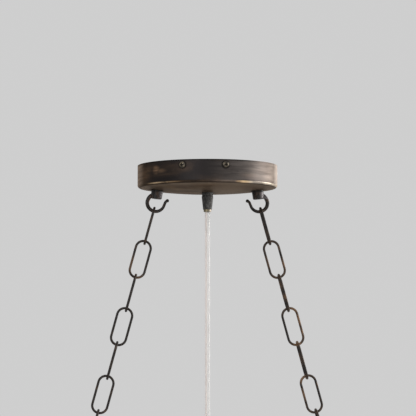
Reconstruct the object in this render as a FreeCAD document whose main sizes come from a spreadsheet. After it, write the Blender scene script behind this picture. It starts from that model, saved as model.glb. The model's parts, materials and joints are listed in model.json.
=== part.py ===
import FreeCAD, Part
import math
import operator
import os
from types import SimpleNamespace

import Sketcher

# Ceiling canopy that carries a light body on two hooks, two chains of long oval links and a clear twin cord.
# Millimetres and degrees. The origin is the centre of the ceiling plane and +Z is up. The hooks stand on the
# X axis, the front is -Y, and an azimuth counts from the front towards +X.

SIZES = {
    # Canopy: a spun cup, domed below, flat in the middle, with a boss square to the dome at each hook
    "canopy_diameter": 152.4,
    "canopy_wall_height": 24.3,
    "canopy_sheet": 1.2,
    "canopy_corner": 1.8,
    "dome_drop": 4.7,
    "centre_seat_diameter": 20.0,
    "boss_diameter": 14.4,
    "boss_proud": 0.4,
    # Bracket: a strap cut from a shallow pan, whose lips take the canopy's screws
    "bracket_plate": 2.0,
    "bracket_width": 76.0,
    "bracket_lip": 11.5,
    "bracket_bend": 1.0,
    "bracket_gap": 0.4,
    "slot_spacing": 79.4,
    "slot_length": 14.6,
    "slot_width": 5.0,
    "wire_hole_diameter": 24.0,
    # Canopy screws: two in front and two behind, the pattern turned a little to the left
    "screw_diameter": 3.5,
    "screw_length": 9.0,
    "screw_head_diameter": 6.8,
    "screw_head_height": 2.3,
    "screw_head_rim": 0.9,
    "screw_drop": 5.6,
    "screw_half_angle": 17.2,
    "screw_turn": 5.2,
    "recess_length": 3.8,
    "recess_width": 0.9,
    "recess_depth": 1.3,
    # Hooks: cast, with a collar against the canopy and a threaded stud through it
    "hook_inset": 21.4,
    "collar_top_diameter": 12.8,
    "collar_bottom_diameter": 12.0,
    "collar_height": 8.9,
    "collar_round": 0.8,
    "loop_drop": 13.3,
    "loop_radius": 9.3,
    "loop_end_angle": 163.0,
    "arm_length": 3.9,
    "kick_radius": 4.5,
    "kick_turn": 45.0,
    "hook_root_diameter": 4.8,
    "hook_tip_diameter": 3.4,
    "tip_ball_diameter": 3.7,
    "stud_diameter": 6.0,
    "stud_end": 2.0,
    "thread_chamfer": 0.5,
    # Washers and nuts on the studs
    "stud_washer_diameter": 12.0,
    "stud_washer_thickness": 1.6,
    "lock_washer_diameter": 10.6,
    "lock_washer_thickness": 1.6,
    "lock_washer_gap": 1.0,
    "stud_nut_flats": 10.0,
    "stud_nut_height": 5.0,
    "nut_chamfer_angle": 30.0,
    # Chain: bent wire links with an open butt seam on one side
    "link_length": 43.2,
    "link_width": 18.9,
    "link_wire": 2.6,
    "link_seam": 0.3,
    "link_play": 0.3,
    "chain_slant": 15.25,
    # Cord grip, its brass mouth ring and the threaded tube that holds it
    "grip_collar_diameter": 12.3,
    "grip_collar_height": 2.6,
    "grip_groove_diameter": 11.7,
    "grip_groove_width": 0.9,
    "grip_shoulder_diameter": 12.7,
    "grip_shoulder_drop": 4.4,
    "grip_mouth_diameter": 9.6,
    "grip_length": 18.4,
    "grip_socket_depth": 9.0,
    "ferrule_diameter": 8.4,
    "ferrule_proud": 2.4,
    "ferrule_depth": 3.0,
    "nipple_diameter": 9.7,
    "nipple_bore": 7.0,
    "nipple_end": 2.6,
    "nipple_washer_diameter": 18.0,
    "nipple_washer_thickness": 1.2,
    "locknut_flats": 14.0,
    "locknut_height": 3.2,
    "lower_nipple_length": 10.0,
    "relief_width": 1.0,
    "relief_depth": 0.4,
    # Cord: flat twin, two round sides joined by a thinner web
    "cord_width": 5.6,
    "cord_web": 1.5,
    "cord_free_length": 230.0,
    "cord_tail_rise": 1.4,
    # Leads inside the canopy, with a twist-on connector on each
    "lead_diameter": 2.5,
    "lead_rise": 2.5,
    "lead_bend_radius": 7.0,
    "lead_run": 6.0,
    "lead_insertion": 11.0,
    "connector_mouth_diameter": 10.0,
    "connector_tip_diameter": 7.0,
    "connector_length": 20.0,
    "connector_flute": 0.9,
    # Earth screw on the bracket
    "earth_screw_diameter": 4.0,
    "earth_screw_flats": 7.0,
    "earth_screw_head": 3.0,
    "earth_flange_diameter": 9.0,
    "earth_flange_thickness": 0.9,
    "earth_screw_inset": 14.0,
    "earth_screw_forward": 20.0,
    # Fits: radial room in a clearance hole and on a thread
    "hole_clearance": 0.2,
    "thread_clearance": 0.05,
}

LINKS_PER_CHAIN = 7
CONNECTOR_FLUTES = 12
SIDES = {"left": -1, "right": 1}
OPERATIONS = {"+": operator.add, "-": operator.sub, "*": operator.mul, "/": operator.truediv}


class Size:
    """A size that carries its number and the sheet formula that it is bound by."""

    def __init__(self, number, formula):
        self.number = number
        self.formula = formula

    def __add__(self, other):
        return joined(self, "+", other)

    def __radd__(self, other):
        return joined(other, "+", self)

    def __sub__(self, other):
        return joined(self, "-", other)

    def __rsub__(self, other):
        return joined(other, "-", self)

    def __mul__(self, other):
        return joined(self, "*", other)

    def __rmul__(self, other):
        return joined(other, "*", self)

    def __truediv__(self, other):
        return joined(self, "/", other)

    def __neg__(self):
        return joined(0, "-", self)


def as_size(value):
    if isinstance(value, Size):
        return value
    return Size(float(value), str(float(value)))


def joined(left, sign, right):
    """Two sizes joined by one sign, in number and in formula."""
    left = as_size(left)
    right = as_size(right)
    number = OPERATIONS[sign](left.number, right.number)
    return Size(number, f"({left.formula} {sign} {right.formula})")


def sine(angle):
    return Size(math.sin(math.radians(angle.number)), f"sin({angle.formula} * 1 deg)")


def cosine(angle):
    return Size(math.cos(math.radians(angle.number)), f"cos({angle.formula} * 1 deg)")


def arcsine(value):
    return Size(math.degrees(math.asin(value.number)), f"(asin({value.formula}) / 1 deg)")


def root(value):
    return Size(math.sqrt(value.number), f"sqrt({value.formula})")


def make_sheet(document):
    """Puts the driving sizes into a sheet, one alias a row, and hands them back by name."""
    sheet = document.addObject("Spreadsheet::Sheet", "Sizes")
    for row, (name, value) in enumerate(SIZES.items(), start=1):
        sheet.set(f"A{row}", name)
        sheet.set(f"B{row}", str(value))
        sheet.setAlias(f"B{row}", name)
    document.recompute()
    return SimpleNamespace(**{name: Size(float(sheet.get(name)), f"Sizes.{name}") for name in SIZES})


doc = FreeCAD.newDocument("chain_canopy")
dim = make_sheet(doc)
nodes = []

# Places that several pieces share
canopy_radius = dim.canopy_diameter / 2
edge_radius = dim.canopy_corner + dim.canopy_sheet
seat_radius = dim.centre_seat_diameter / 2
seat_z = -(dim.canopy_wall_height + dim.dome_drop)
seat_top_z = seat_z + dim.canopy_sheet
dome_run = canopy_radius - edge_radius - seat_radius
dome_radius = (dome_run * dome_run + dim.dome_drop * dim.dome_drop) / (2 * dim.dome_drop)
hook_x = canopy_radius - dim.hook_inset
lean_sine = (hook_x - seat_radius) / dome_radius
lean_cosine = root(1 - lean_sine * lean_sine)
hook_lean = arcsine(lean_sine)
hook_z = seat_z + dome_radius * (1 - lean_cosine)
foot_x = hook_x + dim.boss_proud * lean_sine
foot_z = hook_z - dim.boss_proud * lean_cosine
boss_height = dim.canopy_sheet + 2 * dim.boss_proud
loop_x = foot_x + dim.loop_drop * lean_sine
loop_z = foot_z - dim.loop_drop * lean_cosine
stud_hole = dim.stud_diameter + 2 * dim.hole_clearance
nipple_hole = dim.nipple_diameter + 2 * dim.hole_clearance
nipple_thread = dim.nipple_diameter + 2 * dim.thread_clearance
bracket_radius = canopy_radius - dim.canopy_sheet - dim.bracket_gap
earth_screw_x = dim.bracket_width / 2 - dim.earth_screw_inset
mouth_z = seat_z - dim.grip_length - dim.ferrule_proud
lower_mouth_z = mouth_z - dim.cord_free_length
lower_seat_z = lower_mouth_z - dim.ferrule_proud - dim.grip_length
nipple_top_z = seat_top_z + dim.nipple_washer_thickness + dim.locknut_height + dim.nipple_end
tail_top_z = nipple_top_z + dim.cord_tail_rise
lead_z = tail_top_z + dim.lead_rise + dim.lead_bend_radius
strand_x = dim.cord_width / 4


def bind(item, field, size):
    """Sets a field of an object to a size and ties it to the sheet."""
    item.setExpression(field, as_size(size).formula)


def new_body(label):
    body = doc.addObject("PartDesign::Body", label)
    body.Label = label
    return body


def place(item, x=0, y=0, z=0, axis=(0, 0, 1), angle=0):
    """Places an object; its position and its angle, which is not negative, follow the sheet."""
    x, y, z, angle = as_size(x), as_size(y), as_size(z), as_size(angle)
    base = FreeCAD.Vector(x.number, y.number, z.number)
    turn = FreeCAD.Rotation(FreeCAD.Vector(*axis), angle.number)
    item.Placement = FreeCAD.Placement(base, turn)
    for field, size in (("Base.x", x), ("Base.y", y), ("Base.z", z), ("Rotation.Angle", angle)):
        if "Sizes" in size.formula:
            bind(item, f"Placement.{field}", size)


def sketch_on(body, plane, name, offset=(0, 0, 0), axis=(0, 0, 1), angle=0):
    """A sketch on one of the body's own planes, moved and turned within that plane's axes."""
    sketch = body.newObject("Sketcher::SketchObject", f"{body.Label}_{name}")
    support = [item for item in body.Origin.OriginFeatures if item.Role == plane][0]
    sketch.AttachmentSupport = [(support, "")]
    sketch.MapMode = "FlatFace"
    x, y, z, angle = [as_size(value) for value in (*offset, angle)]
    base = FreeCAD.Vector(x.number, y.number, z.number)
    sketch.AttachmentOffset = FreeCAD.Placement(base, FreeCAD.Rotation(FreeCAD.Vector(*axis), angle.number))
    for field, size in (("Base.x", x), ("Base.y", y), ("Base.z", z), ("Rotation.Angle", angle)):
        if "Sizes" in size.formula:
            bind(sketch, f"AttachmentOffset.{field}", size)
    return sketch


def hold(sketch, kind, *where, size):
    """Adds one dimension to a sketch and ties it to the sheet."""
    size = as_size(size)
    index = sketch.addConstraint(Sketcher.Constraint(kind, *where, size.number))
    if "Sizes" in size.formula:
        sketch.setExpression(f"Constraints[{index}]", size.formula)


def hold_point(sketch, geometry, end, x, y):
    """Fixes a point of a sketch at x, y from its origin; a plain zero puts it on the axis."""
    for value, kind, axis_line in ((x, "DistanceX", -2), (y, "DistanceY", -1)):
        if isinstance(value, Size) or value != 0:
            hold(sketch, kind, -1, 1, geometry, end, size=value)
        else:
            sketch.addConstraint(Sketcher.Constraint("PointOnObject", geometry, end, axis_line))


def add_circle(sketch, x, y, diameter):
    centre = FreeCAD.Vector(as_size(x).number, as_size(y).number, 0)
    diameter = as_size(diameter)
    circle = sketch.addGeometry(Part.Circle(centre, FreeCAD.Vector(0, 0, 1), diameter.number / 2), False)
    hold_point(sketch, circle, 3, x, y)
    hold(sketch, "Diameter", circle, size=diameter)


def add_run(sketch, start, finish, radius=None):
    """A line, or an arc under a half circle: a positive radius turns left, a negative one right.
    Returns the new geometry and the numbers of its two ends, in the run's own order."""
    first = FreeCAD.Vector(as_size(start[0]).number, as_size(start[1]).number, 0)
    last = FreeCAD.Vector(as_size(finish[0]).number, as_size(finish[1]).number, 0)
    if radius is None:
        return sketch.addGeometry(Part.LineSegment(first, last), False), 1, 2
    reach = as_size(radius).number
    chord = last - first
    height = math.sqrt(reach * reach - chord.Length * chord.Length / 4)
    side = FreeCAD.Vector(-chord.y, chord.x, 0).normalize()
    centre = (first + last) / 2 + side * math.copysign(height, reach)
    circle = Part.Circle(centre, FreeCAD.Vector(0, 0, 1), abs(reach))
    angles = [math.atan2(point.y - centre.y, point.x - centre.x) for point in (first, last)]
    ends = (1, 2)
    if reach < 0:
        angles.reverse()
        ends = (2, 1)
    arc = sketch.addGeometry(Part.ArcOfCircle(circle, *angles), False)
    hold(sketch, "Radius", arc, size=radius if reach > 0 else -radius)
    return (arc, *ends)


def add_path(sketch, corners, closed):
    """Runs through corners (x, y), or (x, y, radius) where an arc leads to the corner, each corner held."""
    runs = []
    pairs = list(zip(corners, corners[1:]))
    if closed:
        pairs.append((corners[-1], corners[0]))
    for start, finish in pairs:
        runs.append(add_run(sketch, start, finish, finish[2] if len(finish) > 2 else None))
        hold_point(sketch, runs[-1][0], runs[-1][1], start[0], start[1])
    links = list(zip(runs, runs[1:]))
    if closed:
        links.append((runs[-1], runs[0]))
    else:
        hold_point(sketch, runs[-1][0], runs[-1][2], corners[-1][0], corners[-1][1])
    for run, following in links:
        sketch.addConstraint(Sketcher.Constraint("Coincident", run[0], run[2], following[0], following[1]))


def add_outline(sketch, corners):
    add_path(sketch, corners, closed=True)


def add_hexagon(sketch, flats):
    """A regular hexagon about the origin, by its distance across flats."""
    half = flats / 2
    corner = flats / math.sqrt(3)
    add_outline(sketch, [(half, corner / 2), (0, corner), (-half, corner / 2),
                         (-half, -corner / 2), (0, -corner), (half, -corner / 2)])


def add_slot(sketch, y, length, width):
    """A slot along Y, on the Y axis, with round ends."""
    reach = (length - width) / 2
    half = width / 2
    tops = [y + reach, y - reach]
    arcs = []
    for turn, centre_y in zip((0, math.pi), tops):
        circle = Part.Circle(FreeCAD.Vector(0, centre_y.number, 0), FreeCAD.Vector(0, 0, 1), half.number)
        arcs.append(sketch.addGeometry(Part.ArcOfCircle(circle, turn, turn + math.pi), False))
        hold_point(sketch, arcs[-1], 3, 0, centre_y)
    lines = []
    for side, (first, last) in zip((-1, 1), (tops, tops[::-1])):
        ends = [FreeCAD.Vector(side * half.number, value.number, 0) for value in (first, last)]
        lines.append(sketch.addGeometry(Part.LineSegment(*ends), False))
    chain = [arcs[0], lines[0], arcs[1], lines[1]]
    for run, following in zip(chain, chain[1:] + chain[:1]):
        sketch.addConstraint(Sketcher.Constraint("Tangent", run, 2, following, 1))
    sketch.addConstraint(Sketcher.Constraint("Equal", arcs[0], arcs[1]))
    hold(sketch, "Radius", arcs[0], size=half)


def pad(body, sketch, name, length, down=False):
    feature = body.newObject("PartDesign::Pad", f"{body.Label}_{name}")
    feature.Profile = sketch
    bind(feature, "Length", length)
    feature.Reversed = down
    return feature


def pocket(body, sketch, name, length=None, both_ways=False, up=False):
    """Cuts a sketch through everything, or to a depth below its plane."""
    feature = body.newObject("PartDesign::Pocket", f"{body.Label}_{name}")
    feature.Profile = sketch
    if length is None:
        feature.Type = "ThroughAll"
    else:
        bind(feature, "Length", length)
    if both_ways:
        feature.SideType = "Symmetric"
    feature.Reversed = up
    return feature


def revolve(body, sketch, name, axis="V_Axis"):
    feature = body.newObject("PartDesign::Revolution", f"{body.Label}_{name}")
    feature.Profile = sketch
    feature.ReferenceAxis = (sketch, [axis])
    feature.Angle = 360
    return feature


def groove(body, sketch, name):
    """Cuts what a sketch sweeps when it turns about the upright axis."""
    feature = body.newObject("PartDesign::Groove", f"{body.Label}_{name}")
    feature.Profile = sketch
    feature.ReferenceAxis = (sketch, ["V_Axis"])
    feature.Angle = 360
    return feature


def pipe(body, profile, path, name, end_section=None):
    """Sweeps a profile along a path; with an end section it changes evenly from one to the other."""
    doc.recompute()
    feature = body.newObject("PartDesign::AdditivePipe", f"{body.Label}_{name}")
    feature.Profile = profile
    feature.Spine = (path, [f"Edge{index + 1}" for index in range(len(path.Shape.Edges))])
    if end_section is not None:
        feature.Transformation = "Multisection"
        feature.Sections = [(end_section, [""])]
    return feature


def group(label, members):
    """Several equal pieces that share one node."""
    compound = doc.addObject("Part::Compound", label)
    compound.Label = label
    compound.Links = members
    return compound


def screw_places():
    """The canopy screws' azimuths as (axis, angle) pairs: two in front, then the same two half a turn on."""
    wide = dim.screw_half_angle + dim.screw_turn
    narrow = dim.screw_half_angle - dim.screw_turn
    return [(-1, wide), (1, narrow), (1, 180 - wide), (-1, 180 - narrow)]


def radial_holes(body, diameter):
    """Cuts the four canopy screws' holes, each pair in one line through the axis."""
    for number, (sense, angle) in enumerate(screw_places()[:2]):
        sketch = sketch_on(body, "XZ_Plane", f"screw_line_{number}", axis=(0, sense, 0), angle=angle)
        add_circle(sketch, 0, -dim.screw_drop, diameter)
        pocket(body, sketch, f"screw_holes_{number}", both_ways=True)


def make_canopy():
    """Spun cup: wall, rounded lower edge, dome and flat centre seat, with bosses and holes in it."""
    body = new_body("canopy")
    inner_radius = canopy_radius - dim.canopy_sheet
    dome_edge = canopy_radius - edge_radius
    turn_z = edge_radius - dim.canopy_wall_height
    floor_z = dim.canopy_sheet - dim.canopy_wall_height
    section = sketch_on(body, "XZ_Plane", "section")
    add_outline(section, [
        (canopy_radius, 0),
        (inner_radius, 0),
        (inner_radius, turn_z),
        (dome_edge, floor_z, -dim.canopy_corner),
        (seat_radius, seat_top_z, -dome_radius),
        (0, seat_top_z),
        (0, seat_z),
        (seat_radius, seat_z),
        (dome_edge, -dim.canopy_wall_height, dome_radius),
        (canopy_radius, turn_z, edge_radius),
    ])
    revolve(body, section, "cup")
    for side, sense in SIDES.items():
        foot = {"offset": (sense * foot_x, 0, foot_z), "axis": (0, -sense, 0), "angle": hook_lean}
        boss = sketch_on(body, "XY_Plane", f"boss_{side}", **foot)
        add_circle(boss, 0, 0, dim.boss_diameter)
        pad(body, boss, f"hook_boss_{side}", boss_height)
        hole = sketch_on(body, "XY_Plane", f"stud_circle_{side}", **foot)
        add_circle(hole, 0, 0, stud_hole)
        pocket(body, hole, f"stud_hole_{side}", boss_height, up=True)
    centre = sketch_on(body, "XY_Plane", "nipple_circle")
    add_circle(centre, 0, 0, nipple_hole)
    pocket(body, centre, "nipple_hole")
    radial_holes(body, dim.screw_diameter + 2 * dim.hole_clearance)
    return body


def make_bracket():
    """Strap with turned-down curved lips, slots for the ceiling box and a hole for its wires."""
    body = new_body("mounting_bracket")
    lip_inner = bracket_radius - dim.bracket_plate
    outer_bend = dim.bracket_bend + dim.bracket_plate
    section = sketch_on(body, "XZ_Plane", "section")
    add_outline(section, [
        (0, 0),
        (0, -dim.bracket_plate),
        (lip_inner - dim.bracket_bend, -dim.bracket_plate),
        (lip_inner, -outer_bend, -dim.bracket_bend),
        (lip_inner, -dim.bracket_lip),
        (bracket_radius, -dim.bracket_lip),
        (bracket_radius, -outer_bend),
        (bracket_radius - outer_bend, 0, outer_bend),
    ])
    revolve(body, section, "pan")
    sides = sketch_on(body, "XY_Plane", "sides")
    half_width = dim.bracket_width / 2
    for side in SIDES.values():
        add_outline(sides, [
            (side * half_width, -canopy_radius),
            (side * canopy_radius, -canopy_radius),
            (side * canopy_radius, canopy_radius),
            (side * half_width, canopy_radius),
        ])
    pocket(body, sides, "strap_sides")
    openings = sketch_on(body, "XY_Plane", "openings")
    add_slot(openings, dim.slot_spacing / 2, dim.slot_length, dim.slot_width)
    add_slot(openings, -(dim.slot_spacing / 2), dim.slot_length, dim.slot_width)
    add_circle(openings, 0, 0, dim.wire_hole_diameter)
    earth_thread = dim.earth_screw_diameter + 2 * dim.thread_clearance
    add_circle(openings, earth_screw_x, -dim.earth_screw_forward, earth_thread)
    pocket(body, openings, "slots_and_holes")
    radial_holes(body, dim.screw_diameter + 2 * dim.thread_clearance)
    return body


def make_canopy_screw(number, sense, angle):
    """Pan head screw with a cross recess, its head against the canopy's wall at one azimuth."""
    body = new_body(f"canopy_screw_{number}")
    head_radius = dim.screw_head_diameter / 2
    rim_y = -(canopy_radius + dim.screw_head_rim)
    top_y = -(canopy_radius + dim.screw_head_height)
    crown = dim.screw_head_height - dim.screw_head_rim
    crown_radius = (head_radius * head_radius + crown * crown) / (2 * crown)
    section = sketch_on(body, "XY_Plane", "section")
    add_outline(section, [
        (0, top_y),
        (head_radius, rim_y, crown_radius),
        (head_radius, -canopy_radius),
        (dim.screw_diameter / 2, -canopy_radius),
        (dim.screw_diameter / 2, dim.screw_length - canopy_radius),
        (0, dim.screw_length - canopy_radius),
    ])
    revolve(body, section, "turned")
    recess = sketch_on(body, "XZ_Plane", "recess", offset=(0, 0, -top_y))
    reach = dim.recess_length / 2
    half = dim.recess_width / 2
    add_outline(recess, [
        (reach, half), (half, half), (half, reach), (-half, reach), (-half, half), (-reach, half),
        (-reach, -half), (-half, -half), (-half, -reach), (half, -reach), (half, -half), (reach, -half),
    ])
    pocket(body, recess, "cross", dim.recess_depth)
    place(body, z=-dim.screw_drop, axis=(0, 0, sense), angle=angle)
    return body


def hook_path(sense):
    """Centre line of the hook's wire in its own XZ plane, about the loop's centre: from the collar's axis
    over the outer side and the bottom, up the arm and out again at the tip. Corners are (x, z) or
    (x, z, radius). The angle is where on its circle the last arc ends."""
    loop_end = -dim.loop_end_angle
    kick_end = loop_end + dim.kick_turn
    arm_x = dim.loop_radius * cosine(loop_end)
    arm_z = dim.loop_radius * sine(loop_end)
    kick_x = arm_x + dim.arm_length * sine(loop_end)
    kick_z = arm_z - dim.arm_length * cosine(loop_end)
    tip_x = kick_x + dim.kick_radius * (cosine(loop_end) - cosine(kick_end))
    tip_z = kick_z + dim.kick_radius * (sine(loop_end) - sine(kick_end))
    corners = [
        (0, dim.loop_radius),
        (sense * dim.loop_radius, 0, -sense * dim.loop_radius),
        (sense * arm_x, arm_z, -sense * dim.loop_radius),
        (sense * kick_x, kick_z),
        (sense * tip_x, tip_z, sense * dim.kick_radius),
    ]
    return corners, kick_end


def make_hook(side):
    """Cast hook: a stud and collar on one axis, a tapered wire along the hook's line and a ball end."""
    body = new_body(f"hook_{side}")
    sense = SIDES[side]
    stud_radius = dim.stud_diameter / 2
    top_radius = dim.collar_top_diameter / 2
    bottom_radius = dim.collar_bottom_diameter / 2
    stack = dim.stud_washer_thickness + dim.lock_washer_thickness + dim.stud_nut_height
    stud_top = boss_height + stack + dim.stud_end
    section = sketch_on(body, "XZ_Plane", "section")
    add_outline(section, [
        (0, stud_top),
        (0, -dim.collar_height),
        (bottom_radius - dim.collar_round, -dim.collar_height),
        (bottom_radius, dim.collar_round - dim.collar_height),
        (top_radius, 0),
        (stud_radius, 0),
        (stud_radius, stud_top - dim.thread_chamfer),
        (stud_radius - dim.thread_chamfer, stud_top),
    ])
    revolve(body, section, "stud_and_collar")
    corners, tip_angle = hook_path(sense)
    path = sketch_on(body, "XZ_Plane", "line", offset=(0, -dim.loop_drop, 0))
    add_path(path, corners, closed=False)
    start = sketch_on(body, "YZ_Plane", "root_circle", offset=(0, dim.loop_radius - dim.loop_drop, 0))
    add_circle(start, 0, 0, dim.hook_root_diameter)
    tip_x, tip_z = corners[-1][0], corners[-1][1]
    tip_place = (tip_x, 0, tip_z - dim.loop_drop)
    tip_tilt = -tip_angle - 90
    finish = sketch_on(body, "XY_Plane", "tip_circle", offset=tip_place, axis=(0, -sense, 0), angle=tip_tilt)
    add_circle(finish, 0, 0, dim.hook_tip_diameter)
    pipe(body, start, path, "wire", end_section=finish)
    ball = body.newObject("PartDesign::AdditiveSphere", f"{body.Label}_ball")
    ball.AttachmentSupport = finish.AttachmentSupport
    ball.MapMode = "FlatFace"
    ball.AttachmentOffset = FreeCAD.Placement(finish.AttachmentOffset.Base, FreeCAD.Rotation())
    for field, size in zip(("x", "z"), (tip_place[0], tip_place[2])):
        bind(ball, f"AttachmentOffset.Base.{field}", size)
    bind(ball, "Radius", dim.tip_ball_diameter / 2)
    stand_on_stud(body, sense, 0)
    return body


def stand_on_stud(body, sense, height):
    """Places a piece on one hook's stud axis, square to the dome, at a height above the boss's lower face."""
    place(body, x=sense * (foot_x - height * lean_sine), z=foot_z + height * lean_cosine,
          axis=(0, -sense, 0), angle=hook_lean)


def make_ring(label, outer, inner, thickness, gap=None):
    """Flat washer on the plane z = 0; with a gap, a lock washer split on its front side."""
    body = new_body(label)
    sketch = sketch_on(body, "XY_Plane", "ring")
    add_circle(sketch, 0, 0, outer)
    add_circle(sketch, 0, 0, inner)
    pad(body, sketch, "disc", thickness)
    if gap is not None:
        split = sketch_on(body, "XY_Plane", "split")
        add_outline(split, [(gap / 2, -outer), (gap / 2, 0), (-(gap / 2), 0), (-(gap / 2), -outer)])
        pocket(body, split, "split_cut", both_ways=True)
    return body


def make_nut(label, flats, bore, height):
    """Hexagon nut on the plane z = 0, its upper corners turned off by a cone that starts at the flats."""
    body = new_body(label)
    sketch = sketch_on(body, "XY_Plane", "hexagon")
    add_hexagon(sketch, flats)
    add_circle(sketch, 0, 0, bore)
    pad(body, sketch, "prism", height)
    cone = sketch_on(body, "XZ_Plane", "corner_cone")
    fall = flats / 2 * sine(dim.nut_chamfer_angle) / cosine(dim.nut_chamfer_angle)
    add_outline(cone, [(flats / 2, height), (flats, height), (flats, height - fall)])
    groove(body, cone, "corners")
    return body


def make_stud_fasteners():
    """Washer, lock washer and nut on each hook's stud, stacked on the boss inside the canopy."""
    washers, lock_washers, nuts = [], [], []
    lock_height = boss_height + dim.stud_washer_thickness
    nut_height = lock_height + dim.lock_washer_thickness
    thread = dim.stud_diameter + 2 * dim.thread_clearance
    for side, sense in SIDES.items():
        washers.append(make_ring(f"hook_washer_{side}", dim.stud_washer_diameter, stud_hole,
                                 dim.stud_washer_thickness))
        lock_washers.append(make_ring(f"hook_lock_washer_{side}", dim.lock_washer_diameter, stud_hole,
                                      dim.lock_washer_thickness, gap=dim.lock_washer_gap))
        nuts.append(make_nut(f"hook_nut_{side}", dim.stud_nut_flats, thread, dim.stud_nut_height))
        stand_on_stud(washers[-1], sense, boss_height)
        stand_on_stud(lock_washers[-1], sense, lock_height)
        stand_on_stud(nuts[-1], sense, nut_height)
    stacks = {"hook_washers": washers, "hook_lock_washers": lock_washers, "hook_nuts": nuts}
    return [group(label, members) for label, members in stacks.items()]


def make_link(side, number):
    """Oval link of bent wire. Odd links stand edge-on to the front, even ones flat to it, and each hangs in
    the link above along the slanted chain. The wire starts and ends at the seam, half way up one side: the
    outer side of a flat link and the back of an edge-on one."""
    body = new_body(f"chain_link_{side}_{number}")
    bend = (dim.link_width - dim.link_wire) / 2
    straight = (dim.link_length - dim.link_width) / 2
    half_seam = dim.link_seam / 2
    edge_on = number % 2 == 1
    near = bend if edge_on else SIDES[side] * bend
    path = sketch_on(body, "YZ_Plane" if edge_on else "XZ_Plane", "oval")
    add_path(path, [
        (near, half_seam),
        (near, straight),
        (0, straight + bend, near),
        (-near, straight, near),
        (-near, -straight),
        (0, -(straight + bend), near),
        (near, -straight, near),
        (near, -half_seam),
    ], closed=False)
    circle = sketch_on(body, "XY_Plane", "wire_circle", offset=(0, 0, half_seam))
    centre = (0, near) if edge_on else (near, 0)
    add_circle(circle, *centre, dim.link_wire)
    pipe(body, circle, path, "wire")
    wire_radius = dim.link_wire / 2
    hook_taper = (dim.hook_root_diameter + dim.hook_tip_diameter) / 4
    hang = dim.loop_radius - hook_taper - wire_radius - dim.link_play
    pitch = dim.link_length - 2 * dim.link_wire - dim.link_play
    along = hang + dim.link_length / 2 - wire_radius + (number - 1) * pitch
    sense = SIDES[side]
    x = sense * (loop_x + along * sine(dim.chain_slant))
    z = loop_z - along * cosine(dim.chain_slant)
    place(body, x=x, z=z, axis=(0, -sense, 0), angle=dim.chain_slant)
    return body


def make_grip(label, z, lower=False):
    """Tapered cord grip: a collar and groove at the seat, a shoulder, a socket for the threaded tube, a bore
    for the cord and a recess for the mouth ring. The lower one is the same piece the other way up."""
    body = new_body(label)
    cord_bore = dim.cord_width / 2 + dim.hole_clearance
    ring_radius = dim.ferrule_diameter / 2 + dim.thread_clearance
    recess_z = dim.ferrule_depth - dim.grip_length
    section = sketch_on(body, "XZ_Plane", "section")
    add_outline(section, [
        (nipple_thread / 2, 0),
        (nipple_thread / 2, -dim.grip_socket_depth),
        (cord_bore, -dim.grip_socket_depth),
        (cord_bore, recess_z),
        (ring_radius, recess_z),
        (ring_radius, -dim.grip_length),
        (dim.grip_mouth_diameter / 2, -dim.grip_length),
        (dim.grip_shoulder_diameter / 2, -dim.grip_shoulder_drop),
        (dim.grip_groove_diameter / 2, -(dim.grip_collar_height + dim.grip_groove_width)),
        (dim.grip_groove_diameter / 2, -dim.grip_collar_height),
        (dim.grip_collar_diameter / 2, -dim.grip_collar_height),
        (dim.grip_collar_diameter / 2, 0),
    ])
    revolve(body, section, "turned")
    place(body, z=z, axis=(1, 0, 0), angle=180 if lower else 0)
    return body


def make_ferrule(label, z, lower=False):
    """Brass ring pressed into the grip's mouth and standing proud of it."""
    body = new_body(label)
    sketch = sketch_on(body, "XY_Plane", "ring", offset=(0, 0, dim.ferrule_depth - dim.grip_length))
    add_circle(sketch, 0, 0, dim.ferrule_diameter)
    add_circle(sketch, 0, 0, dim.cord_width + 2 * dim.hole_clearance)
    pad(body, sketch, "tube", dim.ferrule_depth + dim.ferrule_proud, down=True)
    place(body, z=z, axis=(1, 0, 0), angle=180 if lower else 0)
    return body


def make_nipple(label, bottom, relief_z, top):
    """Threaded tube, with a relief groove where its thread enters the grip's socket."""
    body = new_body(label)
    inner = dim.nipple_bore / 2
    outer = dim.nipple_diameter / 2
    relief = outer - dim.relief_depth
    relief_end = relief_z + dim.relief_width - bottom
    height = top - bottom
    section = sketch_on(body, "XZ_Plane", "section")
    add_outline(section, [
        (inner, 0),
        (outer - dim.thread_chamfer, 0),
        (outer, dim.thread_chamfer),
        (outer, relief_z - bottom),
        (relief, relief_z - bottom),
        (relief, relief_end),
        (outer, relief_end),
        (outer, height - dim.thread_chamfer),
        (outer - dim.thread_chamfer, height),
        (inner, height),
    ])
    revolve(body, section, "turned")
    place(body, z=bottom)
    return body


def make_cord(label, bottom, top):
    """Straight stretch of flat twin cord: two round sides joined by a thinner web."""
    body = new_body(label)
    strand = dim.cord_width / 4
    groove_y = dim.cord_web / 2
    groove_x = strand - root(strand * strand - groove_y * groove_y)
    sketch = sketch_on(body, "XY_Plane", "twin")
    add_outline(sketch, [
        (groove_x, -groove_y),
        (strand, -strand, strand),
        (2 * strand, 0, strand),
        (strand, strand, strand),
        (groove_x, groove_y, strand),
        (-groove_x, groove_y),
        (-strand, strand, strand),
        (-2 * strand, 0, strand),
        (-strand, -strand, strand),
        (-groove_x, -groove_y, strand),
    ])
    pad(body, sketch, "run", top - bottom)
    place(body, z=bottom)
    return body


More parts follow.
